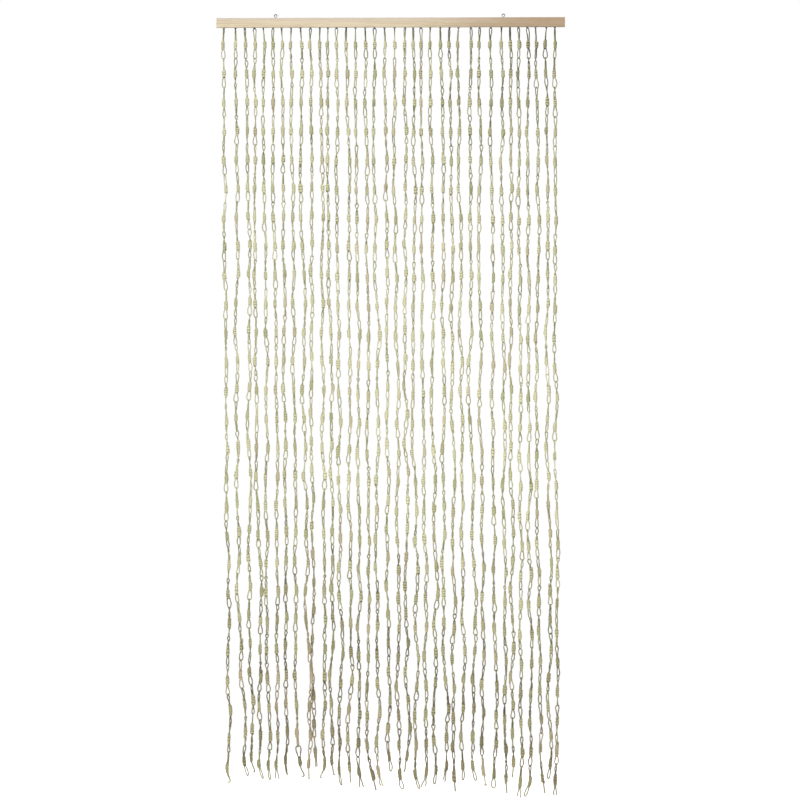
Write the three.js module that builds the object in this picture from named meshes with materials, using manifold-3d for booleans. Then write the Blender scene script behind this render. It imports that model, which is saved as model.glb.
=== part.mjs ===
import * as THREE from 'three';
import { mergeVertices } from 'three/addons/utils/BufferGeometryUtils.js';
import Module from 'manifold-3d';

// A fly curtain of knotted straw links, hung from a pine batten with two wire eyes.
// Millimetres, +X to the right, the front faces -Y, +Z up.
// The origin is midway between the holes of the two eyes.

// Batten
const battenLength = 900;
const battenHeight = 25;
const battenDepth = 15;
const battenEdge = 1.5;
const eyeFromLeft = 153;
const eyeFromRight = 159;

// Wire eyes
const eyeHole = 6.2;
const eyeWire = 1.5;
const eyeNeck = 0.7;
const eyeBendBelowTop = 0.3;
const ringGapAngle = 25;
const shankDepth = 14;
const shankClearance = 0.35;

// Strands
const seatGap = 0.3;
const strandWidth = 9;
const linksPerStrand = 26;
const firstKnotDepth = 45;
const lastKnotAboveTip = 39;
const lastKnotSwing = 0.25;
const swayAtTop = 3;
const swayAtFoot = 6.5;
const swayInDepth = 2.5;
const tangleStart = 1150;
const tangleFull = 1500;

// The depths below the batten at which the strand table gives a strand's drift
const driftDepths = { high: 450, middle: 960, low: 1480, foot: 1740 };

// One row for each strand, left to right: its staple from the batten's left end, its drift to the
// right at the four depths above and at its tip, and how far it hangs below the batten
const strandColumns = ['at', 'high', 'middle', 'low', 'foot', 'tip', 'drop'];
const strandRows = [
  [19, 3, 5, 10, 9, 6, 1950],
  [49, 2, 1, 3, 17, 27, 1933],
  [73, 9, 9, 9, 12, 18, 1923],
  [98, 0, 1, 11, 9, 17, 1941],
  [121, 0, 7, 3, 8, 12, 1944],
  [146, 0, 7, 7, 8, 6, 1941],
  [168, 4, 5, 6, 9, 11, 1931],
  [193, 2, 5, 5, 8, 23, 1935],
  [217, 2, 8, 13, 20, 17, 1940],
  [243, 2, 2, -1, 0, 11, 1911],
  [267, 3, 6, 8, 8, 2, 1939],
  [288, -1, 5, 7, 2, 12, 1931],
  [310, 0, 4, 6, 7, 8, 1958],
  [335, 7, 4, 8, 6, 6, 1950],
  [359, 1, 8, 5, 6, 12, 1963],
  [384, 2, 6, 3, 4, 23, 1970],
  [408, -1, 4, 3, 5, 15, 1959],
  [434, 4, 3, 6, 7, 11, 1923],
  [460, -2, 5, 4, 3, 16, 1968],
  [487, 0, -1, 1, 3, -8, 1922],
  [508, 2, -3, 6, 4, 11, 1968],
  [528, 2, 3, 7, 8, 1, 1963],
  [552, 5, 5, 12, 4, 6, 1956],
  [578, 7, 5, 3, 12, 3, 1948],
  [602, 5, 5, 7, 6, 10, 1974],
  [625, 2, 5, 9, 6, 6, 1946],
  [657, -2, -4, 6, 2, 8, 1947],
  [680, -1, -2, 3, 3, 10, 1960],
  [709, 2, 4, 3, 7, 2, 1967],
  [736, 0, 4, 3, 2, 9, 1979],
  [758, 1, 1, 2, 1, 1, 1938],
  [780, -1, 3, 3, 1, -4, 1990],
  [803, 2, 2, 2, 3, -12, 1988],
  [824, 6, -2, 6, 7, 19, 1979],
  [852, 1, -1, 8, 2, 0, 1943],
  [874, 0, 0, 1, 1, -3, 1984],
];

// Links that stand out sideways from their strand: the strand, the link and how far to the right
const kinkColumns = ['strand', 'link', 'aside'];
const kinkRows = [
  [9, 9, 8],
  [9, 12, -6],
  [17, 9, 7],
  [17, 10, 14],
  [20, 13, 7],
  [20, 14, -4],
];

// The two strands that hang tangled near the foot: how far forward of the batten's middle
const tangled = { 9: 7, 10: -7 };

const rows = (columns, table) =>
  table.map((row) => Object.fromEntries(columns.map((name, i) => [name, row[i]])));

const strands = rows(strandColumns, strandRows);
const kinks = rows(kinkColumns, kinkRows);

const ringRadius = (eyeHole + eyeWire) / 2;
const battenTop = -(ringRadius + eyeWire / 2 + eyeNeck);
const battenBottom = battenTop - battenHeight;
const eyeSpacing = battenLength - eyeFromLeft - eyeFromRight;
const battenLeft = -eyeSpacing / 2 - eyeFromLeft;

const pine = new THREE.MeshStandardMaterial({ color: 0xe6d2b2, roughness: 0.6, metalness: 0 });
const steel = new THREE.MeshStandardMaterial({ color: 0x55524c, roughness: 0.4, metalness: 0.9 });
const straw = new THREE.MeshStandardMaterial({ color: 0xb9b594, roughness: 0.85, metalness: 0 });

// Solids for joining and cutting

const wasm = await Module();
wasm.setup();

function toSolid(geometry) {
  const bare = geometry.clone();
  bare.deleteAttribute('normal');
  bare.deleteAttribute('uv');
  const merged = mergeVertices(bare, 1e-4);
  return new wasm.Manifold(
    new wasm.Mesh({
      numProp: 3,
      vertProperties: new Float32Array(merged.attributes.position.array),
      triVerts: new Uint32Array(merged.index.array),
    }),
  );
}

function toGeometry(solid) {
  const mesh = solid.getMesh();
  const geometry = new THREE.BufferGeometry();
  geometry.setAttribute('position', new THREE.BufferAttribute(mesh.vertProperties, 3));
  geometry.setIndex(new THREE.BufferAttribute(mesh.triVerts, 1));
  geometry.computeVertexNormals();
  return geometry;
}

// Batten: a bar with eased edges and a blind hole for each eye's shank

function easedBar() {
  const y = battenDepth / 2;
  const z = battenHeight / 2;
  const r = battenEdge;
  const section = new THREE.Shape();
  section.absarc(y - r, z - r, r, 0, Math.PI / 2);
  section.absarc(r - y, z - r, r, Math.PI / 2, Math.PI);
  section.absarc(r - y, r - z, r, Math.PI, 1.5 * Math.PI);
  section.absarc(y - r, r - z, r, 1.5 * Math.PI, 2 * Math.PI);
  const bar = new THREE.ExtrudeGeometry(section, {
    depth: battenLength,
    bevelEnabled: false,
    curveSegments: 3,
  });
  bar.rotateX(Math.PI / 2);
  bar.rotateZ(Math.PI / 2);
  bar.translate(battenLeft, 0, battenTop - z);
  return bar;
}

function shankHole(x) {
  const above = 1;
  const depth = shankDepth + 2 * shankClearance;
  const hole = new THREE.CylinderGeometry(
    eyeWire / 2 + shankClearance,
    eyeWire / 2 + shankClearance,
    depth + above,
    16,
  );
  hole.rotateX(Math.PI / 2);
  hole.translate(x, 0, battenTop + (above - depth) / 2);
  return hole;
}

function battenGeometry() {
  const holes = [-eyeSpacing / 2, eyeSpacing / 2].map((x) => toSolid(shankHole(x)));
  return toGeometry(holes.reduce((bar, hole) => bar.subtract(hole), toSolid(easedBar())));
}

// The round section of a wire or strand, with as many sides as asked for

function disc(radius, sides) {
  const corners = [];
  for (let i = 0; i < sides; i++) {
    const turn = (2 * Math.PI * i) / sides;
    corners.push(new THREE.Vector2(radius * Math.cos(turn), radius * Math.sin(turn)));
  }
  return new THREE.Shape(corners);
}

// Eye: one wire, up from its shank and round a ring that ends beside the neck

class RingCurve extends THREE.Curve {
  constructor(radius, start, end) {
    super();
    this.radius = radius;
    this.start = start;
    this.end = end;
  }
  getPoint(t, target = new THREE.Vector3()) {
    const turn = this.start + (this.end - this.start) * t;
    return target.set(this.radius * Math.sin(turn), 0, -this.radius * Math.cos(turn));
  }
}

function eyeGeometry() {
  const ring = new RingCurve(
    ringRadius,
    THREE.MathUtils.degToRad(ringGapAngle),
    THREE.MathUtils.degToRad(360 - ringGapAngle),
  );
  const ringStart = ring.getPoint(0);
  const corner = new THREE.Vector3(0, 0, ringStart.z - ringStart.x * Math.tan(ring.start));
  const neck = new THREE.Vector3(0, 0, battenTop - eyeBendBelowTop);
  const foot = new THREE.Vector3(0, 0, battenTop - shankDepth);
  const wire = new THREE.CurvePath();
  wire.add(new THREE.LineCurve3(foot, neck));
  wire.add(new THREE.QuadraticBezierCurve3(neck, corner, ringStart));
  wire.add(ring);
  return new THREE.ExtrudeGeometry(disc(eyeWire / 2, 8), {
    steps: 44,
    bevelEnabled: false,
    extrudePath: wire,
  });
}

// Strand: a slim tube down the middle of its chain of links, through every knot.
// noise is an even spread of numbers from -1 to 1, the same each time for the same seed.
function noise(seed) {
  const value = Math.sin(seed * 12.9898) * 43758.5453;
  return 2 * (value - Math.floor(value)) - 1;
}

function driftAt(strand, depth) {
  let from = 0;
  let drift = 0;
  for (const [station, to] of Object.entries(driftDepths)) {
    if (depth <= to) {
      return THREE.MathUtils.lerp(drift, strand[station], (depth - from) / (to - from));
    }
    from = to;
    drift = strand[station];
  }
  return drift;
}

function knotPoint(number, strand, link) {
  const pitch = (strand.drop - firstKnotDepth - lastKnotAboveTip) / (linksPerStrand - 1);
  const depth = firstKnotDepth + link * pitch;
  const seed = number * 57 + link;
  const sway = THREE.MathUtils.lerp(swayAtTop, swayAtFoot, depth / strand.drop);
  const swing = link === linksPerStrand - 1 ? lastKnotSwing * (strand.tip - strand.foot) : 0;
  const aside = kinks
    .filter((kink) => kink.strand === number && kink.link === link)
    .reduce((sum, kink) => sum + kink.aside, 0);
  const tangle = THREE.MathUtils.smoothstep(depth, tangleStart, tangleFull);
  return new THREE.Vector3(
    battenLeft + strand.at + driftAt(strand, depth) + sway * noise(seed) + swing + aside,
    swayInDepth * noise(seed + 0.5) - tangle * (tangled[number] || 0),
    battenBottom - depth,
  );
}

function strandRoute(number, strand) {
  const staple = new THREE.Vector3(battenLeft + strand.at, 0, battenBottom - seatGap);
  const knots = [];
  for (let link = 0; link < linksPerStrand; link++) {
    knots.push(knotPoint(number, strand, link));
  }
  const tip = new THREE.Vector3(
    battenLeft + strand.at + strand.tip,
    knots[linksPerStrand - 1].y,
    battenBottom - strand.drop,
  );
  return [staple, ...knots, tip];
}

// A line from knot to knot, with one step from each knot to the next, cut level at its top
class ChainCurve extends THREE.Curve {
  constructor(points) {
    super();
    this.points = points;
  }
  getTangent(t, target = new THREE.Vector3()) {
    return t === 0 ? target.set(0, 0, -1) : super.getTangent(t, target);
  }
  getPoint(t, target = new THREE.Vector3()) {
    const place = t * (this.points.length - 1);
    const i = Math.min(Math.floor(place), this.points.length - 2);
    return target.lerpVectors(this.points[i], this.points[i + 1], place - i);
  }
  getUtoTmapping(u) {
    return u;
  }
}

function strandGeometry(number, strand) {
  const route = strandRoute(number, strand);
  return new THREE.ExtrudeGeometry(disc(strandWidth / 2, 4), {
    steps: route.length - 1,
    bevelEnabled: false,
    extrudePath: new ChainCurve(route),
  });
}

// Assembly

const group = new THREE.Group();

function add(name, geometry, material, x = 0) {
  const mesh = new THREE.Mesh(geometry, material);
  mesh.name = name;
  mesh.position.x = x;
  group.add(mesh);
}

add('batten', battenGeometry(), pine);
add('eye_left', eyeGeometry(), steel, -eyeSpacing / 2);
add('eye_right', eyeGeometry(), steel, eyeSpacing / 2);
strands.forEach((strand, i) => {
  const number = i + 1;
  add(`strand_${String(number).padStart(2, '0')}`, strandGeometry(number, strand), straw);
});

export default group;
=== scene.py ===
import math

import bpy
import numpy as np
from bpy.props import FloatProperty, FloatVectorProperty, IntProperty, PointerProperty
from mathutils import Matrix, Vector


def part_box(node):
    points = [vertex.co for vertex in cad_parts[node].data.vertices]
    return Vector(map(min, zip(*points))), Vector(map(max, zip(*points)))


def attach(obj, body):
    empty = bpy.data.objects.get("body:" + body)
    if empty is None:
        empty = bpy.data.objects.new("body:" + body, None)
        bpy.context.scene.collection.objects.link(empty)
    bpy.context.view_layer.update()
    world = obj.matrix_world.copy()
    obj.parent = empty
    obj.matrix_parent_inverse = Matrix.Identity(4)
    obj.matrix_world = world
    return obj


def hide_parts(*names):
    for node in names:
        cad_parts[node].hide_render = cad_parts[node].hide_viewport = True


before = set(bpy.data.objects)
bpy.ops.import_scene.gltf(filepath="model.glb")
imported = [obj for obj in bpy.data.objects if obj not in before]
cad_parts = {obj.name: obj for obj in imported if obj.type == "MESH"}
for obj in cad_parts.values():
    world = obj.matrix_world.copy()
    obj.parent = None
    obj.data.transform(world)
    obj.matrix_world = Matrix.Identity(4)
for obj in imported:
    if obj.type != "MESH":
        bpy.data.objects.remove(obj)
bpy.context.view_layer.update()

bl_info = {
    "name": "Fly curtain and batten",
    "version": (1, 0, 0),
    "blender": (4, 5, 0),
    "location": "View3D > Sidebar > Fly Curtain",
    "description": "Makes a doorway curtain of knotted straw cord on a pine batten",
    "category": "Add Mesh",
}

# Shapes are worked out in millimetres in the solids' frame, and meshes are in metres.
MM = 0.001
batten_low, batten_high = (np.array(corner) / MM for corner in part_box("batten"))
BATTEN_LEFT = batten_low[0]
BATTEN_BOTTOM = batten_low[2]

# The run of each strand, as its solid has it
SEAT_GAP = 0.3
LINKS = 26
FIRST_KNOT_DEPTH = 45
LAST_KNOT_ABOVE_TIP = 39
LAST_KNOT_SWING = 0.25
SWAY_AT_TOP = 3
SWAY_AT_FOOT = 6.5
SWAY_IN_DEPTH = 2.5
TANGLE_START = 1150
TANGLE_FULL = 1500
DRIFT_DEPTHS = {"high": 450, "middle": 960, "low": 1480, "foot": 1740}


def table(columns, *rows):
    """Rows as dictionaries, by column."""
    return [dict(zip(columns, row)) for row in rows]


# Each strand's place on the batten, its drift at four depths and the tip, and its length
STRANDS = table(
    ("at", "high", "middle", "low", "foot", "tip", "drop"),
    (19, 3, 5, 10, 9, 6, 1950),
    (49, 2, 1, 3, 17, 27, 1933),
    (73, 9, 9, 9, 12, 18, 1923),
    (98, 0, 1, 11, 9, 17, 1941),
    (121, 0, 7, 3, 8, 12, 1944),
    (146, 0, 7, 7, 8, 6, 1941),
    (168, 4, 5, 6, 9, 11, 1931),
    (193, 2, 5, 5, 8, 23, 1935),
    (217, 2, 8, 13, 20, 17, 1940),
    (243, 2, 2, -1, 0, 11, 1911),
    (267, 3, 6, 8, 8, 2, 1939),
    (288, -1, 5, 7, 2, 12, 1931),
    (310, 0, 4, 6, 7, 8, 1958),
    (335, 7, 4, 8, 6, 6, 1950),
    (359, 1, 8, 5, 6, 12, 1963),
    (384, 2, 6, 3, 4, 23, 1970),
    (408, -1, 4, 3, 5, 15, 1959),
    (434, 4, 3, 6, 7, 11, 1923),
    (460, -2, 5, 4, 3, 16, 1968),
    (487, 0, -1, 1, 3, -8, 1922),
    (508, 2, -3, 6, 4, 11, 1968),
    (528, 2, 3, 7, 8, 1, 1963),
    (552, 5, 5, 12, 4, 6, 1956),
    (578, 7, 5, 3, 12, 3, 1948),
    (602, 5, 5, 7, 6, 10, 1974),
    (625, 2, 5, 9, 6, 6, 1946),
    (657, -2, -4, 6, 2, 8, 1947),
    (680, -1, -2, 3, 3, 10, 1960),
    (709, 2, 4, 3, 7, 2, 1967),
    (736, 0, 4, 3, 2, 9, 1979),
    (758, 1, 1, 2, 1, 1, 1938),
    (780, -1, 3, 3, 1, -4, 1990),
    (803, 2, 2, 2, 3, -12, 1988),
    (824, 6, -2, 6, 7, 19, 1979),
    (852, 1, -1, 8, 2, 0, 1943),
    (874, 0, 0, 1, 1, -3, 1984),
)
# How far aside some knots stand, by strand and link
KINKS = {(9, 9): 8, (9, 12): -6, (17, 9): 7, (17, 10): 14, (20, 13): 7, (20, 14): -4}
# The strands that cross near the foot, and how far forward each goes there
TANGLED = {9: 7, 10: -7}

# How each strand ends, left to right. A loop is closed, and legs are one or two cut ends.
# gap: width of the loop or ring, or between two ends. hook: how far the last bend goes right.
# knob: how much thicker the end is. short: how much higher the right leg ends.
ENDS = table(
    ("shape", "gap", "legs", "hook", "knob", "short"),
    ("legs", 3, 2, -7, 0, 1),
    ("loop", 8),
    ("legs", 0, 1, -4, 0.8, 0),
    ("loop", 6),
    ("loop", 6),
    ("legs", 12, 2, 0, 0, -2),
    ("legs", 5, 2, 2, 0, -3),
    ("legs", 0, 1, -7.5, 0.2, 0),
    ("legs", 0, 1, 0, 1.2, 0),
    ("legs", 6, 2, 1, 0.5, 3),
    ("legs", 7, 2, 5, 0, 14),
    ("legs", 0, 1, 2, 0.9, 0),
    ("loop", 6),
    ("legs", 0, 1, 0, 0.3, 0),
    ("legs", 12, 2, 2, 0.2, 2),
    ("legs", 0, 1, 0, 1.1, 0),
    ("legs", 9, 2, 2, 0.4, -1),
    ("loop", 8),
    ("loop", 12),
    ("legs", 0, 1, -2, 1.1, 0),
    ("loop", 7),
    ("legs", 14, 2, 0, 0.2, 3),
    ("loop", 7),
    ("legs", 7, 2, -3, 0.3, -5),
    ("legs", 0, 1, 0, 1.0, 0),
    ("loop", 7),
    ("loop", 8),
    ("ring", 7),
    ("loop", 12),
    ("legs", 0, 1, 0, 0.4, 0),
    ("legs", 0, 1, 0, 1.1, 0),
    ("legs", 12, 2, 0, 0.3, -3),
    ("loop", 8),
    ("legs", 0, 1, 0, 0.7, 0),
    ("loop", 8),
    ("legs", 10, 2, 2, 0.2, 0),
)

# How open the upper and lower loop of each first link look from the front
OPENINGS = (
    (0.2, 0.9), (0.1, 0.9), (0.4, 0.8), (0.7, 0.8), (0.2, 0.1), (0.6, 0.8),
    (0.2, 0.8), (0.1, 0.6), (0.1, 0.2), (0.7, 0.4), (0.1, 0.5), (0.1, 0.1),
    (0.9, 0.1), (0.2, 0.2), (0.1, 0.5), (0.1, 0.9), (1.0, 0.9), (0.1, 0.2),
    (0.1, 0.1), (0.6, 0.1), (0.3, 0.5), (0.8, 0.4), (0.2, 0.8), (0.1, 0.9),
    (0.3, 0.9), (0.1, 0.1), (0.6, 0.6), (0.6, 0.1), (0.9, 0.4), (0.3, 0.1),
    (0.2, 0.8), (0.7, 0.9), (0.7, 0.9), (0.1, 0.5), (0.1, 1.0), (0.2, 0.9),
)

# Width and squareness of loops that stand out, by strand, link and loop
STRIKING = {
    (8, 25, "upper"): (11.6, 0.45),
    (13, 23, "upper"): (9.5, 0.45),
    (9, 23, "upper"): (9.0, 0.6),
    (10, 22, "lower"): (8.6, 0.7),
    (34, 1, "lower"): (9.8, 0.8),
    (35, 0, "lower"): (9.6, 0.8),
}


# What a user would change

COLOUR = {"subtype": "COLOR", "min": 0, "max": 1}


class CordSizes(bpy.types.PropertyGroup):
    """Sizes of the straw cord and of one link tied from it"""

    cord: FloatProperty(
        name="Cord", description="Diameter of the straw cord", default=0.0029, unit="LENGTH")
    lay: FloatProperty(
        name="Lay", description="Length in which one ply crosses the cord's face", default=0.0042,
        unit="LENGTH")
    knot_length: FloatProperty(
        name="Knot length", description="Length of a wrapped knot at the top", default=0.0250,
        unit="LENGTH")
    knot_growth: FloatProperty(
        name="Knot growth", description="How much longer the knots at the foot are",
        default=0.0080, unit="LENGTH")
    knot_width: FloatProperty(
        name="Knot width", description="Wide side of a wrapped knot", default=0.0114, unit="LENGTH")
    knot_depth: FloatProperty(
        name="Knot depth", description="Narrow side of a wrapped knot", default=0.0099, unit="LENGTH")
    coils: IntProperty(
        name="Coils", description="Full turns of doubled cord round a knot", default=4, min=2, max=6)
    upper_loop: FloatProperty(
        name="Upper loop", description="Width between the centres of the upper loop's legs",
        default=0.0060, unit="LENGTH")
    lower_loop: FloatProperty(
        name="Lower loop", description="Width between the centres of the lower loop's legs",
        default=0.0074, unit="LENGTH")


class CordColours(bpy.types.PropertyGroup):
    """Colours of the dried straw"""

    pale: FloatVectorProperty(
        name="Pale", description="Colour of the palest cords", default=(0.79, 0.768, 0.50), **COLOUR)
    sage: FloatVectorProperty(
        name="Sage", description="Colour of most of the cord", default=(0.455, 0.437, 0.235), **COLOUR)
    shade: FloatVectorProperty(
        name="Shade", description="Colour between the plies and on the darkest cords",
        default=(0.098, 0.085, 0.036), **COLOUR)
    blush: FloatVectorProperty(
        name="Blush", description="Colour of the pinkish stalks", default=(0.52, 0.42, 0.29), **COLOUR)
    leaf: FloatVectorProperty(
        name="Leaf", description="Colour of the stalks that stayed green",
        default=(0.37, 0.39, 0.17), **COLOUR)


class BattenColours(bpy.types.PropertyGroup):
    """Colours of the bare pine, and of the painted shade at its right end"""

    sapwood: FloatVectorProperty(
        name="Sapwood", description="Pale ground colour of the pine", default=(0.76, 0.65, 0.46), **COLOUR)
    grain: FloatVectorProperty(
        name="Grain", description="Colour of the darker grain lines", default=(0.58, 0.44, 0.29), **COLOUR)
    upper_edge: FloatVectorProperty(
        name="Upper edge", description="Greyer, pinkish colour towards the top",
        default=(0.66, 0.57, 0.48), **COLOUR)
    # Painted shade: the colour the pine darkens to at its right end, where less light falls
    end_shaded: FloatVectorProperty(
        name="Shaded end", description="Colour that the pine darkens to at its right end",
        default=(0.46, 0.33, 0.21), **COLOUR)


class WireSizes(bpy.types.PropertyGroup):
    """Sizes and colour of the wire fittings"""

    eye_wire: FloatProperty(
        name="Eye wire", description="Diameter of the eyes' wire", default=0.0021, unit="LENGTH")
    staple_wire: FloatProperty(
        name="Staple wire", description="Diameter of the staples' wire", default=0.0012, unit="LENGTH")
    staple_crown: FloatProperty(
        name="Staple crown", description="Width of a staple's bend between its legs",
        default=0.0040, unit="LENGTH")
    staple_bite: FloatProperty(
        name="Staple bite", description="How far a staple's legs go into the batten",
        default=0.007, unit="LENGTH")
    steel: FloatVectorProperty(
        name="Steel", description="Colour of the dark wire", default=(0.012, 0.0115, 0.011), **COLOUR)


class StageSettings(bpy.types.PropertyGroup):
    """Camera, floor and lights"""

    lens: FloatProperty(
        name="Lens", description="Focal length of the camera", default=200, unit="CAMERA")
    framing: FloatProperty(
        name="Framing", description="Width that the picture takes in at the curtain",
        default=2.0664, unit="LENGTH")
    roll: FloatProperty(
        name="Roll", description="How far the camera leans clockwise", subtype="ANGLE",
        default=math.radians(0.15))
    key_power: FloatProperty(
        name="Key light", description="Power of the large light at the upper left", default=350,
        unit="POWER")
    fill_power: FloatProperty(
        name="Fill light", description="Power of the large light at the right", default=45, unit="POWER")
    back_power: FloatProperty(
        name="Back light", description="Power of the large light behind, above the picture",
        default=130, unit="POWER")
    daylight: FloatProperty(
        name="Daylight", description="Strength of the even light from all round", default=0.13)


# How pale the straw is down a strand: palest at half way, a little darker at the top and darkest at the
# foot
TONES = ((0, 0.85), (0.2, 0.94), (0.4, 1.03), (0.58, 0.95), (0.78, 0.54), (1, 0.22))
TONE_SPREAD = 0.3
# How much darker the strands at the right are near the batten
RIGHT_SHADE = 0.34
# The share of links with pinkish or green stalks, and their strongest colour
BLUSH_SHARE, BLUSH_MOST = 0.2, 0.6
LEAF_SHARE, LEAF_MOST = 0.25, 0.8
# What weathering at the foot adds in pink and takes in green
WEATHERED_BLUSH, WEATHERED_LEAF = 0.15, 0.7
# How much darker and pinker the tangled strands are
TANGLED_TONE, TANGLED_BLUSH = 0.2, 0.35

# Paler colour of the steel below the top of an eye's ring
PALE_STEEL = (0.42, 0.41, 0.39)

# The stage, in metres
FLOOR_REACH = 1.6
FLOOR_BELOW_TIPS = 0.012
FLOOR_GLOW = 0.72
CAMERA_ASIDE = 0.0245
CAMERA_HEIGHT = -0.9928
CAMERA_REACH = 100
LAMPS_AIM = (0.0, 0.0, -1.0)
# Each lamp's name, size and place
LAMPS = (
    ("key", 1.8, (-1.5, -4.6, 3.7)),
    ("fill", 2.0, (2.3, -5.5, -1.0)),
    ("back", 2.0, (1.6, 4.8, 3.4)),
)


# Shader expressions

class Value:
    """A number that varies over a surface. Arithmetic on it adds Math nodes."""

    def __init__(self, nodes, socket):
        self.nodes = nodes
        self.socket = socket

    def math(self, operation, *inputs, clamp=False):
        """The result of one Math node."""
        settings = {"operation": operation, "use_clamp": clamp}
        return self.nodes.add("Math", settings, dict(enumerate(inputs)))

    def __add__(self, other):
        return self.math("ADD", self, other)

    __radd__ = __add__

    def __sub__(self, other):
        return self.math("SUBTRACT", self, other)

    def __rsub__(self, other):
        return self.math("SUBTRACT", other, self)

    def __mul__(self, other):
        return self.math("MULTIPLY", self, other)

    __rmul__ = __mul__

    def __abs__(self):
        return self.math("ABSOLUTE", self)

    def clamped(self):
        """The value kept between 0 and 1."""
        return self.math("ADD", self, 0, clamp=True)

    def wave(self):
        """The sine of the value in turns, from -1 to 1."""
        return self.math("SINE", self * (2 * math.pi))

    def between(self, low, high):
        """An eased rise from 0 at low to 1 at high."""
        settings = {"interpolation_type": "SMOOTHSTEP"}
        return self.nodes.add("MapRange", settings,
                              {"Value": self, "From Min": low, "From Max": high})


class Nodes:
    """The nodes of one material, or of the world."""

    def __init__(self, owner):
        owner.use_nodes = True
        self.tree = owner.node_tree
        self.tree.nodes.clear()

    def add(self, kind, settings=None, sockets=None, result=0):
        """Adds a node, fills its sockets with values or links and returns an output."""
        node = self.tree.nodes.new("ShaderNode" + kind)
        for name, value in (settings or {}).items():
            if name == "stops":
                self.set_stops(node.color_ramp, value)
            else:
                setattr(node, name, value)
        for name, value in (sockets or {}).items():
            if isinstance(value, Value):
                self.tree.links.new(value.socket, node.inputs[name])
            else:
                node.inputs[name].default_value = value
        return Value(self, node.outputs[result]) if node.outputs else None

    def set_stops(self, ramp, stops):
        """Sets a ramp's places and colours."""
        while len(ramp.elements) < len(stops):
            ramp.elements.new(1)
        for element, (place, colour) in zip(ramp.elements, stops):
            element.position = place
            element.color = self.opaque(colour)

    def opaque(self, rgb):
        """A colour as a socket takes it."""
        return (*rgb, 1)

    def mix(self, factor, first, second):
        """A colour between two."""
        inputs = {0: factor}
        for place, value in ((6, first), (7, second)):
            inputs[place] = value if isinstance(value, Value) else self.opaque(value)
        return self.add("Mix", {"data_type": "RGBA"}, inputs, 2)

    def noise(self, vector, scale, detail=2, roughness=0.5):
        """Soft random patches, from 0 to 1."""
        sockets = {"Vector": vector, "Scale": scale, "Detail": detail, "Roughness": roughness}
        return self.add("TexNoise", None, sockets, "Fac")

    def parts(self, vector):
        """The three numbers of a vector."""
        return [self.add("SeparateXYZ", None, {"Vector": vector}, i) for i in range(3)]

    def vector(self, x, y, z):
        """A vector from three numbers."""
        return self.add("CombineXYZ", None, {"X": x, "Y": y, "Z": z})

    def place(self):
        """The place on the object, in millimetres."""
        spot = self.add("TexCoord", None, None, "Object")
        return self.add("VectorMath", {"operation": "SCALE"}, {"Vector": spot, "Scale": 1 / MM})

    def bump(self, height, depth, strength=1.0):
        """A normal that follows a height. depth: of the relief, in metres."""
        sockets = {"Height": height, "Distance": depth, "Strength": strength}
        return self.add("Bump", None, sockets, "Normal")

    def surface(self, colour, roughness, normal=None, shine=0.5, metallic=0):
        """Ends a material with its shader."""
        sockets = {"Base Color": colour, "Roughness": roughness, "Specular IOR Level": shine,
                   "Metallic": metallic}
        if normal:
            sockets["Normal"] = normal
        shader = self.add("BsdfPrincipled", None, sockets)
        self.add("OutputMaterial", None, {"Surface": shader})
        return shader.socket.node


# Finishes

STRAW_RELIEF = 0.35 * MM
PINE_RELIEF = 0.12 * MM
WIRE_RELIEF = 0.05 * MM
# How far below the top edge pine turns greyer, and how far from its right end painted shade darkens it,
# where less light falls
GREYED_REACH = 15
END_SHADE_FROM = 440
END_SHADE_TO = 60
# Half the height over which an eye's wire turns from dark to pale
PALE_FADE = 1.2


def straw_finish(colours):
    """Twisted dry straw, with its own tone in each link and painted shade between the plies."""
    finish = bpy.data.materials.new("straw_cord")
    nodes = Nodes(finish)
    # The dye attribute's tone holds painted shade and shadow as well as the straw's own colour
    dye = nodes.add("Attribute", {"attribute_name": "dye"}, None, "Color")
    tone, blush, leaf = nodes.parts(dye)
    along, around, _ = nodes.parts(nodes.add("UVMap", {"uv_map": "lay"}))
    across_plies = around * 2 + along
    ply = abs((across_plies * 0.5).wave())
    # Painted shade in the grooves between the two plies
    ply_groove_shade = 1 - ply.between(0.0, 0.55)
    fibre_place = nodes.vector(across_plies * 7, along * 0.35, tone * 40)
    fibre = nodes.noise(fibre_place, 1.0, 3, 0.65)
    spot = nodes.place()
    patch = nodes.noise(spot, 0.06, 2)
    fleck = nodes.noise(spot, 0.45, 2)
    light = (tone + (fibre - 0.5) * 0.6 + (patch - 0.5) * 0.4 + (fleck - 0.5) * 0.5
             - ply_groove_shade * 0.42)
    stops = [(0.0, colours.shade), (0.5, colours.sage), (1.0, colours.pale)]
    base = nodes.add("ValToRGB", {"stops": stops}, {"Fac": light.clamped()}, "Color")
    pinkish = nodes.mix((blush * (0.35 + fibre)).clamped(), base, colours.blush)
    greenish = nodes.mix((leaf * (0.25 + fibre)).clamped(), pinkish, colours.leaf)
    relief = nodes.bump(ply * 0.7 + fibre * 0.3, STRAW_RELIEF)
    nodes.surface(greenish, 0.78, relief, shine=0.3)
    return finish


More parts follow.
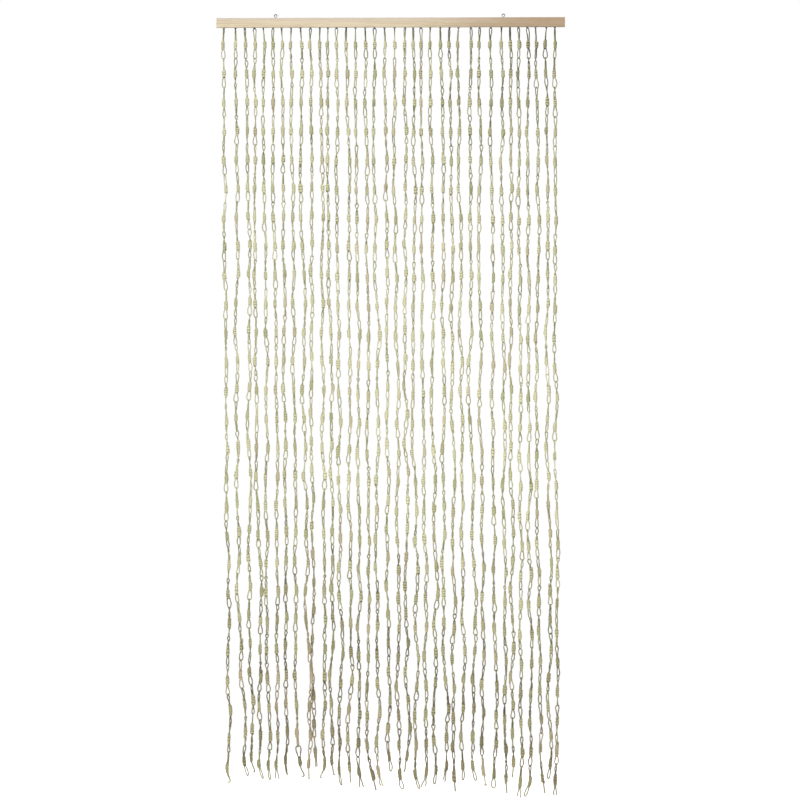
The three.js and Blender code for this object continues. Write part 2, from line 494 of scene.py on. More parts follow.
def pine_finish(colours):
    """Planed pine with long grain, with painted shade darkening its right end."""
    finish = bpy.data.materials.new("batten_pine")
    nodes = Nodes(finish)
    spot = nodes.place()
    x, y, z = nodes.parts(spot)
    drift = nodes.noise(nodes.vector(x * 0.004, y * 0.05, z * 0.05), 1.0, 2) * 26
    rings = nodes.noise(nodes.vector(x * 0.0025, (y + drift) * 0.45, (z + drift) * 0.45), 1.0, 3)
    fine = nodes.noise(nodes.vector(x * 0.03, y * 2.2, z * 2.2), 1.0, 3, 0.6)
    cloud = nodes.noise(nodes.vector(x * 0.012, y * 0.1, z * 0.1), 1.0, 2)
    grain = rings.between(0.42, 0.64) * 0.7 + (fine - 0.5) * 0.8 + (cloud - 0.5) * 0.7
    base = nodes.mix(grain.clamped(), colours.sapwood, colours.grain)
    right_end, _, top = (float(side) for side in batten_high)
    upper = z.between(top - GREYED_REACH, top) * (0.55 + cloud * 0.5)
    greyed = nodes.mix(upper.clamped(), base, colours.upper_edge)
    # Painted shade, darker towards the right end, where less light falls
    end_shade = x.between(right_end - END_SHADE_FROM, right_end - END_SHADE_TO)
    end_shade = end_shade * (0.3 + fine * 0.6 + rings * 0.7)
    end_shaded = nodes.mix(end_shade.clamped(), greyed, colours.end_shaded)
    nodes.surface(end_shaded, 0.62, nodes.bump(fine + rings, PINE_RELIEF, 0.6), shine=0.35)
    return finish


def wire_finish(name, wire, bright_below=None):
    """Dark drawn steel wire with faint draw marks. bright_below: height below which it turns paler."""
    finish = bpy.data.materials.new(name)
    nodes = Nodes(finish)
    spot = nodes.place()
    marks = nodes.noise(spot, 2.5, 3, 0.6)
    worn = tuple(min(1, 3 * channel) for channel in wire.steel)
    colour = nodes.mix(marks.between(0.5, 0.8), wire.steel, worn)
    if bright_below is not None:
        height = nodes.parts(spot)[2] + (marks - 0.5) * 2
        # Paler steel below bright_below and dark steel above it
        scale = height.between(bright_below - PALE_FADE, bright_below + PALE_FADE)
        colour = nodes.mix(scale, PALE_STEEL, colour)
    nodes.surface(colour, marks * 0.3 + 0.35, nodes.bump(marks, WIRE_RELIEF), metallic=0.3)
    return finish


def floor_finish():
    """White studio floor, which glows a little so that it stays even."""
    finish = bpy.data.materials.new("stage_floor")
    nodes = Nodes(finish)
    speckle = nodes.noise(nodes.place(), 0.02, 2)
    shader = nodes.surface(nodes.mix(speckle, (0.93, 0.93, 0.92), (0.95, 0.95, 0.94)), 0.9)
    shader.inputs["Emission Color"].default_value = (1, 1, 1, 1)
    shader.inputs["Emission Strength"].default_value = FLOOR_GLOW
    return finish


# Routes of the strands

def noise(seed):
    """A number from -1 to 1 that looks random, as the solids have it."""
    value = math.sin(seed * 12.9898) * 43758.5453
    return 2 * (value - math.floor(value)) - 1


def lerp(start, end, share):
    """A value part of the way from one to another."""
    return start + (end - start) * share


def smoothstep(value, low, high):
    """An eased rise from 0 at low to 1 at high."""
    share = min(max((value - low) / (high - low), 0), 1)
    return share * share * (3 - 2 * share)


def drift_at(strand, depth):
    """How far aside a strand has drifted at a depth."""
    start = 0
    drift = 0
    for station, to in DRIFT_DEPTHS.items():
        if depth <= to:
            return lerp(drift, strand[station], (depth - start) / (to - start))
        start = to
        drift = strand[station]
    return drift


def knot_point(number, strand, link):
    """The middle of one of a strand's knots."""
    pitch = (strand["drop"] - FIRST_KNOT_DEPTH - LAST_KNOT_ABOVE_TIP) / (LINKS - 1)
    depth = FIRST_KNOT_DEPTH + link * pitch
    seed = number * 57 + link
    sway = lerp(SWAY_AT_TOP, SWAY_AT_FOOT, depth / strand["drop"])
    swing = LAST_KNOT_SWING * (strand["tip"] - strand["foot"]) if link == LINKS - 1 else 0
    aside = KINKS.get((number, link), 0)
    tangle = smoothstep(depth, TANGLE_START, TANGLE_FULL)
    x = BATTEN_LEFT + strand["at"] + drift_at(strand, depth) + sway * noise(seed) + swing + aside
    y = SWAY_IN_DEPTH * noise(seed + 0.5) - tangle * TANGLED.get(number, 0)
    return np.array([x, y, BATTEN_BOTTOM - depth])


def strand_route(number, strand):
    """Staple, knots and tip of a strand, the same points as its solid runs through."""
    staple = np.array([BATTEN_LEFT + strand["at"], 0, BATTEN_BOTTOM - SEAT_GAP])
    knots = [knot_point(number, strand, link) for link in range(LINKS)]
    tip = np.array([staple[0] + strand["tip"], knots[-1][1], BATTEN_BOTTOM - strand["drop"]])
    return np.array([staple, *knots, tip])


# Joined meshes from arrays

# The baking map has a cell for each link, with a column for the knot and for each cord
CELLS_ACROSS, CELLS_UP = 6, 5
CELL_WIDTH = 1 / CELLS_ACROSS
CELL_HEIGHT = 1 / CELLS_UP
COLUMNS = {
    "knot": (0.012, 0.53),
    "upper": (0.555, 0.69),
    "lower": (0.71, 0.845),
    "tail": (0.865, 0.985),
}
# Small round places for caps at the foot of a cell, in shares of the cell
FIRST_CAP = 0.06
CAP_STEP = 0.125
CAP_ROW = 0.02
CAP_SIZE = (0.03, 0.016)
ABOVE_CAPS = 0.05
CELL_TOP = 0.985
# The map of wires has a cell for each, with a margin at its sides and ends
WIRES_ACROSS, WIRES_UP = 12, 3
WIRE_MARGIN = (0.1, 0.05)


def unit(vector):
    """Vectors of length 1 with the same headings."""
    return vector / np.linalg.norm(vector, axis=-1, keepdims=True)


class Skein:
    """Patches of one joined mesh, each with the cord's lay, its dye and painted shade, and a baking map.
    """

    def __init__(self):
        self.points = []
        self.dyes_and_shades = []
        self.faces = []
        self.lays = []
        self.windows = []
        self.count = 0
        self.cell = (0, 0)
        self.caps = 0
        self.wires = 0

    def add(self, rings, lay, window, dye, shift=0):
        """Adds a closed tube of rings. shift: rows by which its seam climbs, as a spiral's does."""
        rows, columns = rings.shape[:2]
        row, column = np.mgrid[0:rows - 1, 0:columns]
        own = row * columns + column
        at_seam = column == columns - 1
        beside = np.where(at_seam, (row + shift) * columns, own + 1)
        quads = np.stack([own, beside, beside + columns, own + columns], -1)
        kept = ~at_seam | (row + 1 + shift < rows)
        across = np.stack([column, column + 1, column + 1, column], -1) / columns
        up = np.stack([row, row, row + 1, row + 1], -1) / (rows - 1)
        left, low, right, high = window
        spread = np.stack([lerp(left, right, across), lerp(low, high, up)], -1)
        self.faces += (quads[kept] + self.count).tolist()
        self.lays.append(lay[kept].reshape(-1, 2))
        self.windows.append(spread[kept].reshape(-1, 2))
        index = np.arange(rows * columns).reshape(rows, columns)
        first = [*index[0], *index[shift:0:-1, 0]]
        last = [*index[-1], *index[rows - 2:rows - 2 - shift:-1, -1]]
        self.add_cap(first[::-1])
        self.add_cap(last)
        self.points.append(rings.reshape(-1, 3))
        self.dyes_and_shades.append(np.broadcast_to(dye, (rows, columns, 3)).reshape(-1, 3))
        self.count += rows * columns

    def add_cap(self, corners):
        """Closes a tube's end with one face, with a small round place in the baking map."""
        turns = 2 * math.pi * np.arange(len(corners)) / len(corners)
        x, y = self.cell
        middle = (x + (FIRST_CAP + CAP_STEP * self.caps) * CELL_WIDTH, y + CAP_ROW * CELL_HEIGHT)
        ring = np.stack([np.cos(turns) * CAP_SIZE[0] * CELL_WIDTH,
                         np.sin(turns) * CAP_SIZE[1] * CELL_HEIGHT], -1)
        self.faces.append([int(corner) + self.count for corner in corners])
        self.lays.append(np.tile((0.5, 0.0), (len(corners), 1)))
        self.windows.append(ring + middle)
        self.caps += 1

    def add_wire(self, points, radius, facing, sides):
        """Adds a wire with a place of its own in the baking map."""
        number = self.wires
        self.wires += 1
        self.cell = (number % WIRES_ACROSS / WIRES_ACROSS, number // WIRES_ACROSS / WIRES_UP)
        self.caps = 0
        rings, lay = cord_rings(np.asarray(points, float), radius, facing, 1, sides)
        x, y = self.cell
        beside, above = WIRE_MARGIN
        window = (x + beside / WIRES_ACROSS, y + above / WIRES_UP,
                  x + (1 - beside) / WIRES_ACROSS, y + (1 - above) / WIRES_UP)
        self.add(rings, lay, window, np.zeros(3))

    def start_cell(self, number):
        """Moves on to the next cell of the baking map, one for each link."""
        self.cell = (number % CELLS_ACROSS * CELL_WIDTH, number // CELLS_ACROSS * CELL_HEIGHT)
        self.caps = 0

    def window(self, left, right):
        """A column of the present cell, above the row of caps."""
        x, y = self.cell
        return (x + left * CELL_WIDTH, y + ABOVE_CAPS * CELL_HEIGHT,
                x + right * CELL_WIDTH, y + CELL_TOP * CELL_HEIGHT)

    def mesh(self, name):
        """All patches as one mesh, in metres."""
        made = bpy.data.meshes.new(name)
        made.from_pydata((np.concatenate(self.points) * MM).tolist(), [], self.faces)
        for label, parts in (("OFBake", self.windows), ("lay", self.lays)):
            layer = made.uv_layers.new(name=label)
            layer.data.foreach_set("uv", np.concatenate(parts).astype(np.float32).ravel())
        dyes_and_shades = np.concatenate(self.dyes_and_shades)
        colours = np.concatenate([dyes_and_shades, np.ones((len(dyes_and_shades), 1))], 1)
        attribute = made.attributes.new("dye", "FLOAT_COLOR", "POINT")
        attribute.data.foreach_set("color", colours.astype(np.float32).ravel())
        made.shade_smooth()
        made.update()
        return made


# Cord shapes

# Sides of cords, wires and knots, and steps along them
CORD_SIDES = 6
STAPLE_SIDES = 6
EYE_SIDES = 12
LOOP_STEPS = 20
LEG_STEPS = 13
RING_STEPS = 30
TAIL_STEPS = 4
KNOT_SIDES = 10
# How much thinner a knot is at its two ends
KNOT_TAPER = 0.42
# The rows of one coil of doubled cord: how far along it, how far out, and how much painted shade darkens
# it in the grooves between coils
COIL_ROWS = np.array([
    (0.00, 0.70, 0.85),
    (0.15, 0.90, 0.50),
    (0.34, 1.00, -0.05),
    (0.50, 0.92, 0.10),
    (0.66, 1.00, -0.05),
    (0.87, 0.92, 0.40),
])
COIL_STEP = len(COIL_ROWS)


def cord_rings(points, radius, facing, lay_length, sides=CORD_SIDES):
    """Rings of a cord along a line, and its lay. facing: a direction square to the line's bends."""
    along = unit(np.gradient(points, axis=0))
    facing = np.broadcast_to(facing, points.shape)
    second = unit(facing - along * (facing * along).sum(-1, keepdims=True))
    first = np.cross(second, along)
    turns = 2 * math.pi * np.arange(sides) / sides
    radius = np.broadcast_to(radius, len(points))[:, None, None]
    around = np.cos(turns)[:, None] * first[:, None] + np.sin(turns)[:, None] * second[:, None]
    steps = np.linalg.norm(np.diff(points, axis=0), axis=1)
    length = np.concatenate([[0], np.cumsum(steps)]) / lay_length
    row, column = np.mgrid[0:len(points) - 1, 0:sides]
    u = np.stack([length[row], length[row], length[row + 1], length[row + 1]], -1)
    v = np.stack([column, column + 1, column + 1, column], -1) / sides
    return points[:, None] + radius * around, np.stack([u, v], -1)


def loop_line(base, axis, apex, width, turn, wind, slim, square, waist, lean):
    """A drop-shaped loop from a knot to its apex and back.
    turn: its plane's turn about the strand. wind: how far its neck is twisted on. slim: how long
    its neck is. square: below 1 it gets corners. lean: how far it bows."""
    phase = np.linspace(0, 2 * math.pi, LOOP_STEPS + 1)
    share = (1 - np.cos(phase)) / 2
    side = np.sign(np.sin(phase).round(9)) * np.abs(np.sin(phase)) ** square
    drop = side * np.sin(phase / 2) ** slim
    drop *= width / 2 / drop.max()
    aside = drop + waist * np.cos(phase / 2) + lean * np.sin(math.pi * share)
    reach = np.linalg.norm(apex - base)
    heading = unit(apex - base)
    angle = turn + wind * (1 - share)
    level = np.stack([np.cos(angle), np.sin(angle), 0 * angle], -1)
    across = unit(level - np.outer(level @ heading, heading))
    straight = base + np.outer(share, axis * reach)
    bend = np.outer(share ** 2, apex - base - axis * reach)
    return straight + bend + aside[:, None] * across, np.cross(heading, across)


def knot_rings(head, foot, turn, size, coils, bow, uneven, hand, lay_length):
    """A knot of doubled cord wound in a spiral, as rows that climb by one coil in each turn.
    Also gives the cord's lay and how much painted shade darkens each row, most in the grooves between
    coils."""
    width, depth = size
    axis = unit(foot - head)
    row = np.arange(COIL_STEP * coils + 1)
    along_coil, out, darker = COIL_ROWS[row % COIL_STEP].T
    climb = row // COIL_STEP + along_coil
    turned = np.arange(KNOT_SIDES) / KNOT_SIDES
    place = (climb[:, None] + turned) / (coils + 1)
    taper = 1 - KNOT_TAPER * np.abs(2 * place - 1) ** 4
    swell = np.interp(place * (len(uneven) - 1), np.arange(len(uneven)), uneven)
    radius = out[:, None] * taper * swell
    level = np.array([math.cos(turn), math.sin(turn), 0])
    across = unit(level - axis * level.dot(axis))
    other = np.cross(axis, across) * hand
    angle = 2 * math.pi * turned
    middle = head + place[..., None] * (foot - head)
    middle = middle + (1 - (2 * place - 1) ** 2)[..., None] * bow
    ring = (radius * np.cos(angle) * width / 2)[..., None] * across
    ring = ring + (radius * np.sin(angle) * depth / 2)[..., None] * other
    grid_row, grid_column = np.mgrid[0:COIL_STEP * coils, 0:KNOT_SIDES]
    girth = math.pi * (width + depth) / 2 / lay_length
    start = (grid_row // COIL_STEP + grid_column / KNOT_SIDES) * girth
    end = start + girth / KNOT_SIDES
    edges = [*COIL_ROWS[:, 0], 1.0]
    low = np.take(edges, grid_row % COIL_STEP)
    high = np.take(edges, grid_row % COIL_STEP + 1)
    lay = np.stack([np.stack([start, end, end, start], -1),
                    np.stack([low, low, high, high], -1)], -1)
    rings = middle + ring
    if hand < 0:
        rings, lay, darker = rings[::-1], lay[::-1][:, :, ::-1], darker[::-1]
    return rings, lay, darker


def smooth_line(points, steps):
    """A line with even steps along a Catmull-Rom curve through the points."""
    points = np.asarray(points, float)
    padded = np.concatenate([[2 * points[0] - points[1]], points, [2 * points[-1] - points[-2]]])
    place = np.linspace(0, len(points) - 1, steps + 1)
    i = np.minimum(place.astype(int), len(points) - 2)
    t = (place - i)[:, None]
    a, b, c, d = (padded[i + k] for k in range(4))
    return 0.5 * (2 * b + (c - a) * t + (2 * a - 5 * b + 4 * c - d) * t ** 2
                  + (3 * b - a - 3 * c + d) * t ** 3)


# Strands

# Where two links hook together, as a share of the way between knots, and how it wanders
HINGE_SHARE = 0.465
HINGE_WANDER = (2.1, 0.8, 0)
# How far a knot wanders from its strand's run, and how far it bows
KNOT_WANDER = (1.2, 0.6, 0)
KNOT_BOW = (1.1, 0.6, 0)
KNOT_EVENNESS = (0.84, 1.08)
# How far inside its knot a loop starts
ROOT_DEPTH = 6.5
# The shape of upper and lower loops, with width as a share of the usual
LOOP_FORMS = {
    "upper": {"width": (0.45, 1.25), "slim": (2.5, 5.5), "wind": 5},
    "lower": {"width": (0.65, 1.25), "slim": (0.9, 1.8), "wind": 1.4},
}
LOOP_SQUARE = (0.65, 1.1)
LOOP_LEAN = 1.3
LOOP_TREMBLE = 0.28
LOOP_TONE = (-0.22, 0.09)
# Painted shadow of the batten and staples: how much darker the first loops are where they pass under their
# staples
UNDER_BATTEN_SHADOW = -0.75
# The share of links with a cut end that sticks out, and how far it does
TAIL_CHANCE = 0.35
TAIL_LENGTH = (3, 6)
TAIL_OUT = (0.2, 1.2)
# How unlike a right angle the turn from one link to the next is
TURN_SPREAD = 0.35


class Strand:
    """One strand of the curtain, link by link."""

    def __init__(self, number, sizes):
        self.number = number
        self.end = ENDS[number - 1]
        self.random = np.random.default_rng(number)
        self.cord = sizes.cord / MM
        self.lay = sizes.lay / MM
        self.knot_length = sizes.knot_length / MM
        self.knot_growth = sizes.knot_growth / MM
        self.knot = np.array([sizes.knot_width, sizes.knot_depth]) / MM
        self.coils = sizes.coils
        self.loops = {"upper": sizes.upper_loop / MM, "lower": sizes.lower_loop / MM}
        self.route = strand_route(number, STRANDS[number - 1])
        self.skein = Skein()

    def hinges(self):
        """Where the links hook together: under the staple, between the knots and at the tip."""
        knots = self.route[1:-1]
        between = lerp(knots[:-1], knots[1:], HINGE_SHARE)
        wander = self.random.uniform(-1, 1, between.shape) * HINGE_WANDER
        between = between + wander * np.linspace(0.5, 1.1, len(between))[:, None]
        return [self.route[0], *between, self.route[-1]]

    def dye(self, depth_share):
        """Tone, pinkness and greenness of one link. The tone holds painted shade on the strands at the
        right near the batten.
        """
        pick = self.random.random(4)
        tone = np.interp(depth_share, *zip(*TONES)) + TONE_SPREAD * (pick[0] - 0.5)
        blush = BLUSH_MOST * (pick[1] > 1 - BLUSH_SHARE) * pick[2]
        leaf = LEAF_MOST * (pick[3] > 1 - LEAF_SHARE) * pick[2]
        # Painted shade on the strands at the right near the batten, where less light falls
        tone -= (RIGHT_SHADE * smoothstep(self.number / len(STRANDS), 0.4, 1)
                 * (1 - smoothstep(depth_share, 0.0, 0.25)))
        weathered = smoothstep(depth_share, 0.55, 1)
        blush += WEATHERED_BLUSH * weathered
        leaf *= 1 - WEATHERED_LEAF * weathered
        if self.number in TANGLED:
            tangle = smoothstep(depth_share, 0.55, 0.85)
            tone -= TANGLED_TONE * tangle
            blush += TANGLED_BLUSH * tangle
        return np.array([tone, blush, leaf])

    def add_cord(self, points, facing, window, dye, radius=None):
        """A cord along a line, of the usual radius if none is given."""
        thick = self.cord / 2 if radius is None else radius
        rings, lay = cord_rings(points, thick, facing, self.lay)
        self.skein.add(rings, lay, self.skein.window(*window), dye)

    def add_loop(self, link, place, base, axis, apex, turn, dye):
        """One of a link's two loops. place: upper or lower."""
        random = self.random
        form = LOOP_FORMS[place]
        stapled = link == 0 and place == "upper"
        width = self.loops[place] * random.uniform(*form["width"])
        slim = random.uniform(*form["slim"])
        square = random.uniform(*LOOP_SQUARE)
        wind = random.uniform(-1, 1) * form["wind"]
        lean = random.uniform(-1, 1) * LOOP_LEAN
        if stapled:
            width, slim, wind = self.loops[place] * 1.15, 4, wind * 0.2
        if (self.number, link, place) in STRIKING:
            width, square = STRIKING[self.number, link, place]
            turn, slim, lean = 0.1, 1.5, 0
        points, facing = loop_line(base, axis, apex, width, turn, wind, slim, square,
                                   random.uniform(0.45, 0.65) * self.cord, lean)
        fade = np.sin(np.linspace(0, math.pi, len(points)))[:, None]
        points = points + random.normal(0, LOOP_TREMBLE, points.shape) * fade
        neck = 1.06 - 0.2 * fade[:, 0] ** 2 + 0.14 * link / LINKS
        uneven = self.cord / 2 * random.uniform(0.88, 1.12, len(points)) * neck
        tones = np.full(len(points), random.normal(*LOOP_TONE))
        # Painted shadow of the batten and staple on the top of the first loop
        if stapled:
            tones += UNDER_BATTEN_SHADOW * fade[:, 0] ** 4
        dyes_and_shades = dye + np.multiply.outer(tones, [[1.0, 0, 0]])
        self.add_cord(points, facing, COLUMNS[place], dyes_and_shades, uneven)

    def add_knot(self, centre, up, down, half, turn, dye):
        """A link's knot, bent where the strand bends."""
        random = self.random
        coils = self.coils + int(random.integers(-1, 2))
        uneven = random.uniform(*KNOT_EVENNESS, 8)
        hand = random.choice([-1, 1])
        head, foot = centre + up * half, centre + down * half
        bow = 0.6 * (centre - lerp(head, foot, 0.5)) + random.uniform(-1, 1, 3) * KNOT_BOW
        rings, lay, darker = knot_rings(head, foot, turn, self.knot * random.uniform(0.9, 1.06, 2),
                                        coils, bow, uneven, hand, self.lay)
        # Painted shade in the grooves between coils, of a strength that differs from knot to knot; the
        # lift pales the whole knot more where that shade is stronger
        lines = random.uniform(0.2, 1.1) * lerp(0.5, 1, min(max(dye[0], 0), 1))
        lift = (0.06 + 0.22 * lines) * (0.45 + 0.55 * dye[0])
        dyes_and_shades = dye + [lift, 0, 0] - np.multiply.outer(darker * lines, [[1.0, 0, 0]])
        self.skein.add(rings, lay, self.skein.window(*COLUMNS["knot"]), dyes_and_shades, COIL_STEP)

    def add_tail(self, centre, axis, half, turn, dye):
        """The cut end that sticks out of a knot."""
        side = self.random.choice([-1, 1])
        out = np.array([math.cos(turn), math.sin(turn), 0])
        start = centre + axis * side * half * 0.5 + out * self.knot[0] * 0.2
        length = self.random.uniform(*TAIL_LENGTH)
        end = start + axis * side * (half * 0.5 + length) + out * self.random.uniform(*TAIL_OUT)
        middle = lerp(start, end, 0.5) + out * 0.8
        points = smooth_line([start, middle, end], TAIL_STEPS)
        radius = self.cord / 2 * np.array([*[1.0] * TAIL_STEPS, 1.1])
        self.add_cord(points, np.cross(out, axis), COLUMNS["tail"], dye, radius)

    def add_end(self, base, axis, tip, dye):
        """The free end below the last knot."""
        end = self.end
        if end["shape"] == "loop":
            points, facing = loop_line(base, axis, tip + [0, 0, self.cord / 2],
                                       end["gap"] - self.cord, self.random.normal(0, 0.3), 0, 1.2,
                                       0.9, 0.5 * self.cord, self.random.normal(0, 0.8))
            self.add_cord(points, facing, COLUMNS["lower"], dye)
        elif end["shape"] == "ring":
            self.add_ring_end(base, axis, tip, dye)
        else:
            self.add_legs(base, axis, tip, dye)

    def add_legs(self, base, axis, tip, dye):
        """One cut end, or two that spread from the knot."""
        end = self.end
        across = np.array([1.0, 0, 0])
        reach = np.linalg.norm(tip - base)
        for leg in range(end["legs"]):
            side = 0 if end["legs"] == 1 else 2 * leg - 1
            rise = max(end["short"], 0) if side > 0 else max(-end["short"], 0) * (side < 0)
            spread = across * side * (end["gap"] - self.cord) / 2
            hook = end["hook"] * across
            foot = tip + spread + [0, 0, rise]
            start = base + across * side * 0.5 * self.cord
            heading = lerp(axis * reach, foot - hook - start, 0.5)
            bends = [start, start + heading * 0.35, lerp(start, foot - hook, 0.7) + spread * 0.15,
                     lerp(start, foot, 0.9) - hook * 0.75, lerp(start, foot, 0.97) - hook * 0.3, foot]
            points = smooth_line(bends, LEG_STEPS)
            thick = self.cord / 2 * (1.2 if end["legs"] == 1 else 1)
            radius = thick + end["knob"] * np.linspace(0, 1, len(points)) ** 5
            column = COLUMNS["lower" if leg == 0 else "tail"]
            self.add_cord(points, [0, 1, 0.01], column, dye, radius)

    def add_ring_end(self, base, axis, tip, dye):
        """A single cord that curls into a small ring."""
        radius = self.end["gap"] / 2 - self.cord / 2
        middle = tip + [0, 0, radius + self.cord / 2]
        turns = np.linspace(0.5 * math.pi, -1.45 * math.pi, 9)
        ring = middle + radius * np.stack([np.cos(turns), 0 * turns, np.sin(turns)], -1)
        ring += np.outer(np.linspace(0, 1, len(turns)), [0, self.cord, 0])
        bends = [base, lerp(base, ring[0], 0.5), ring[0] + [-1.2, 0, 3], *ring]
        points = smooth_line(bends, RING_STEPS)
        self.add_cord(points, [0.02, 1, 0.01], COLUMNS["lower"], dye)

    def build(self):
        """All links as one mesh."""
        hinges = self.hinges()
        down = np.array([0, 0, -1.0])
        turn, lower_turn = (math.acos(share) for share in OPENINGS[self.number - 1])
        twist = lower_turn - turn
        for link in range(LINKS):
            self.skein.start_cell(link)
            above, centre, below = hinges[link], self.route[link + 1], hinges[link + 1]
            centre = centre + self.random.uniform(-1, 1, 3) * KNOT_WANDER
            to_above, to_below = unit(above - centre), unit(below - centre)
            share = link / (LINKS - 1)
            dye = self.dye(share)
            half = (self.knot_length + self.knot_growth * share) / 2
            half *= self.random.uniform(0.88, 1.12)
            self.add_knot(centre, to_above, to_below, half, turn + twist * 0.5, dye)
            inside = half - ROOT_DEPTH
            lift = -down * self.cord / 2 if link else down * (self.cord / 2 - SEAT_GAP + 0.1)
            self.add_loop(link, "upper", centre + to_above * inside, to_above, above + lift, turn, dye)
            if link < LINKS - 1:
                self.add_loop(link, "lower", centre + to_below * inside, to_below,
                              below + down * self.cord / 2, turn + twist, dye)
                if self.random.random() < TAIL_CHANCE:
                    self.add_tail(centre, unit(to_below - to_above), half, turn + twist * 0.5, dye)
            else:
                self.add_end(centre + to_below * inside, to_below, below, dye)
            turn += twist + math.pi / 2 + self.random.normal(0, TURN_SPREAD)
            twist = self.random.uniform(-0.5, 0.5) * math.pi
        return self.skein.mesh(f"strand_{self.number:02d}_links")


def add_object(name, data):
    """A new object in the scene."""
    made = bpy.data.objects.new(name, data)
    bpy.context.collection.objects.link(made)
    return made


def add_piece(name, mesh, material):
    """Adds an object that stays with the solids' one body."""
    piece = add_object(name, mesh)
    mesh.materials.append(material)
    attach(piece, "root")
    return piece


# Operators

# An eye's wire, in degrees and millimetres: its ring's two ends, and how far apart they stand
RING_FROM, RING_TO = -70, 265
RING_STAGGER = 0.7
RING_BENDS = 40
# How each eye is turned, and the height below which its wire is paler
EYE_TURNS = {"eye_left": 0.12, "eye_right": -0.2}
BRIGHT_BELOW = 0.4
# Where a staple's corners bend, above its crown
STAPLE_BEND = 1.1
STAPLE_ROUND = 0.25


class FLYCURTAIN_OT_stage(bpy.types.Operator):
    """Sets up the camera, the lights and a pale floor"""

    bl_idname = "fly_curtain.stage"
    bl_label = "Stage"

    def execute(self, context):
        settings = context.scene.fly_curtain_stage
        self.add_camera(context, settings)
        self.add_lights(settings)
        self.add_floor()
        self.light_world(context, settings)
        context.scene.view_settings.view_transform = "Standard"
        return {"FINISHED"}

    def add_camera(self, context, settings):
        data = bpy.data.cameras.new("camera")
        data.lens = settings.lens
        data.clip_end = CAMERA_REACH
        camera = add_object("camera", data)
        away = settings.framing * settings.lens / data.sensor_width
        camera.location = (CAMERA_ASIDE, -away, CAMERA_HEIGHT)
        camera.rotation_euler = (math.radians(90), settings.roll, 0)
        context.scene.camera = camera

    def add_lights(self, settings):
        for name, size, place in LAMPS:
            data = bpy.data.lights.new(name, "AREA")
            data.energy = getattr(settings, f"{name}_power")
            data.size = size
            lamp = add_object(name, data)
            lamp.location = place
            aim = np.subtract(LAMPS_AIM, place)
            lamp.rotation_euler = (
                math.atan2(math.hypot(aim[0], aim[1]), -aim[2]), 0, math.atan2(-aim[0], aim[1]))

    def add_floor(self):
        lowest = BATTEN_BOTTOM - max(strand["drop"] for strand in STRANDS)
        height = lowest * MM - FLOOR_BELOW_TIPS
        corners = [(x * FLOOR_REACH, y * FLOOR_REACH, height)
                   for x, y in ((-1, -1), (1, -1), (1, 1), (-1, 1))]
        mesh = bpy.data.meshes.new("floor")
        mesh.from_pydata(corners, [], [(0, 1, 2, 3)])
        mesh.materials.append(floor_finish())
        add_object("floor", mesh)

    def light_world(self, context, settings):
        world = bpy.data.worlds.new("daylight")
        context.scene.world = world
        nodes = Nodes(world)
        white = (1, 1, 1, 1)
        soft = nodes.add("Background", None, {"Color": white, "Strength": settings.daylight})
        plain = nodes.add("Background", None, {"Color": white, "Strength": 1.0})
        seen = nodes.add("LightPath", None, None, "Is Camera Ray")
        mixed = nodes.add("MixShader", None, {0: seen, 1: soft, 2: plain})
        nodes.add("OutputWorld", None, {"Surface": mixed})


class FLYCURTAIN_OT_strands(bpy.types.Operator):
    """Makes the strands of knotted straw links, one piece each"""

    bl_idname = "fly_curtain.strands"
    bl_label = "Strands"

    def execute(self, context):
        sizes = context.scene.fly_curtain_cord
        finish = straw_finish(context.scene.fly_curtain_straw)
        for number in range(1, len(STRANDS) + 1):
            strand = Strand(number, sizes)
            node = f"strand_{number:02d}"
            piece = add_piece(f"{node}_links", strand.build(), finish)
            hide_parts(node)
        return {"FINISHED"}


class FLYCURTAIN_OT_batten(bpy.types.Operator):
    """Finishes the batten as planed pine"""

    bl_idname = "fly_curtain.batten"
    bl_label = "Batten"

    def execute(self, context):
        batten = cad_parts["batten"]
        batten.data.materials.clear()
        batten.data.materials.append(pine_finish(context.scene.fly_curtain_pine))
        return {"FINISHED"}


class FLYCURTAIN_OT_eyes(bpy.types.Operator):
    """Makes the two wire eyes that the curtain hangs on"""

    bl_idname = "fly_curtain.eyes"
    bl_label = "Eyes"

    def execute(self, context):
        wire = context.scene.fly_curtain_wire
        finish = wire_finish("eye_wire", wire, BRIGHT_BELOW)
        for node, turn in EYE_TURNS.items():
            low, high = (np.array(corner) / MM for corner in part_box(node))
            middle = np.array([(low[0] + high[0]) / 2, 0, 0])
            radius = (high[0] - low[0] - wire.eye_wire / MM) / 2
            bends = np.linspace(math.radians(RING_FROM), math.radians(RING_TO), RING_BENDS)
            ring = np.stack([np.cos(bends), 0 * bends, np.sin(bends)], -1) * radius
            ring[:, 1] = np.linspace(RING_STAGGER, 0, len(bends))
            shank = [(0, 0, -radius - 1.2), (0, 0, low[2] + 1.5), (0, 0, low[2])]
            line = np.concatenate([ring[:-1], shank])
            spin = np.array([[math.cos(turn), -math.sin(turn), 0],
                             [math.sin(turn), math.cos(turn), 0], [0, 0, 1]])
            points = line @ spin.T + middle
            thick = wire.eye_wire / MM / 2 * np.array([*[1.0] * (len(line) - 1), 0.3])
            skein = Skein()
            skein.add_wire(points, thick, spin @ [0.01, 1, 0.01], EYE_SIDES)
            piece = add_piece(f"{node}_wire", skein.mesh(f"{node}_wire"), finish)
            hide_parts(node)
        return {"FINISHED"}


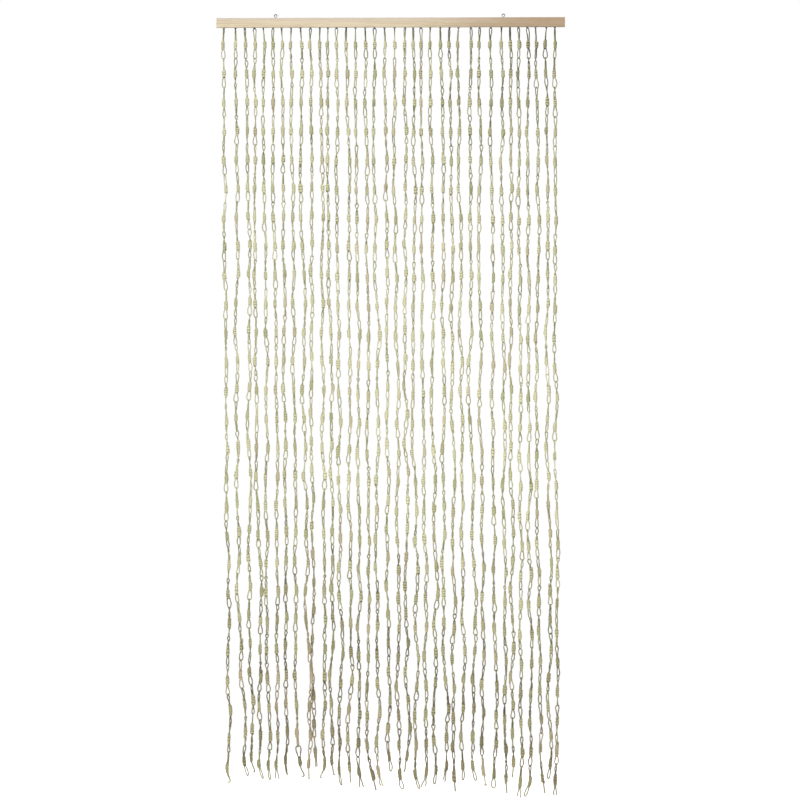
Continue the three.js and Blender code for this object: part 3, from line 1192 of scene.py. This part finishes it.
class FLYCURTAIN_OT_staples(bpy.types.Operator):
    """Makes the staples that hold the strands, joined in one piece"""

    bl_idname = "fly_curtain.staples"
    bl_label = "Staples"

    def execute(self, context):
        wire = context.scene.fly_curtain_wire
        cord = context.scene.fly_curtain_cord.cord / MM
        thick = wire.staple_wire / MM / 2
        half = wire.staple_crown / MM / 2
        crown = -cord - thick
        bite = wire.staple_bite / MM
        random = np.random.default_rng(99)
        skein = Skein()
        for strand, (opening, _) in zip(STRANDS, OPENINGS):
            turn = math.acos(opening) + math.pi / 2 + random.normal(0, 0.1)
            level = np.array([math.cos(turn), math.sin(turn), 0])
            leg = [(half, bite), (half, crown + STAPLE_BEND), (half * 0.8, crown + STAPLE_ROUND),
                   (half * 0.45, crown)]
            outline = [(-x, z) for x, z in leg] + leg[::-1]
            top = np.array([BATTEN_LEFT + strand["at"], 0, BATTEN_BOTTOM])
            points = np.array([top + level * x + [0, 0, z] for x, z in outline])
            skein.add_wire(points, thick, [-level[1], level[0], 0.01], STAPLE_SIDES)
        piece = add_piece("staples", skein.mesh("staples"), wire_finish("staple_wire", wire))
        return {"FINISHED"}


class FLYCURTAIN_PT_build(bpy.types.Panel):
    """Lists the steps that make the curtain"""

    bl_label = "Fly Curtain"
    bl_space_type = "VIEW_3D"
    bl_region_type = "UI"
    bl_category = "Fly Curtain"

    def draw(self, context):
        for step in STEPS:
            self.layout.operator(step.bl_idname)
        for group, cls in PROPERTIES.items():
            box = self.layout.box()
            for name in cls.__annotations__:
                box.prop(getattr(context.scene, group), name)


STEPS = (FLYCURTAIN_OT_stage, FLYCURTAIN_OT_strands, FLYCURTAIN_OT_batten, FLYCURTAIN_OT_eyes,
         FLYCURTAIN_OT_staples)
PROPERTIES = {
    "fly_curtain_cord": CordSizes,
    "fly_curtain_straw": CordColours,
    "fly_curtain_pine": BattenColours,
    "fly_curtain_wire": WireSizes,
    "fly_curtain_stage": StageSettings,
}
CLASSES = (*PROPERTIES.values(), *STEPS, FLYCURTAIN_PT_build)


def register():
    for cls in CLASSES:
        bpy.utils.register_class(cls)
    for name, cls in PROPERTIES.items():
        setattr(bpy.types.Scene, name, PointerProperty(type=cls))


def unregister():
    for name in PROPERTIES:
        delattr(bpy.types.Scene, name)
    for cls in reversed(CLASSES):
        bpy.utils.unregister_class(cls)


def main():
    register()
    bpy.ops.fly_curtain.stage()
    bpy.ops.fly_curtain.strands()
    bpy.ops.fly_curtain.batten()
    bpy.ops.fly_curtain.eyes()
    bpy.ops.fly_curtain.staples()


if __name__ == "__main__":
    main()
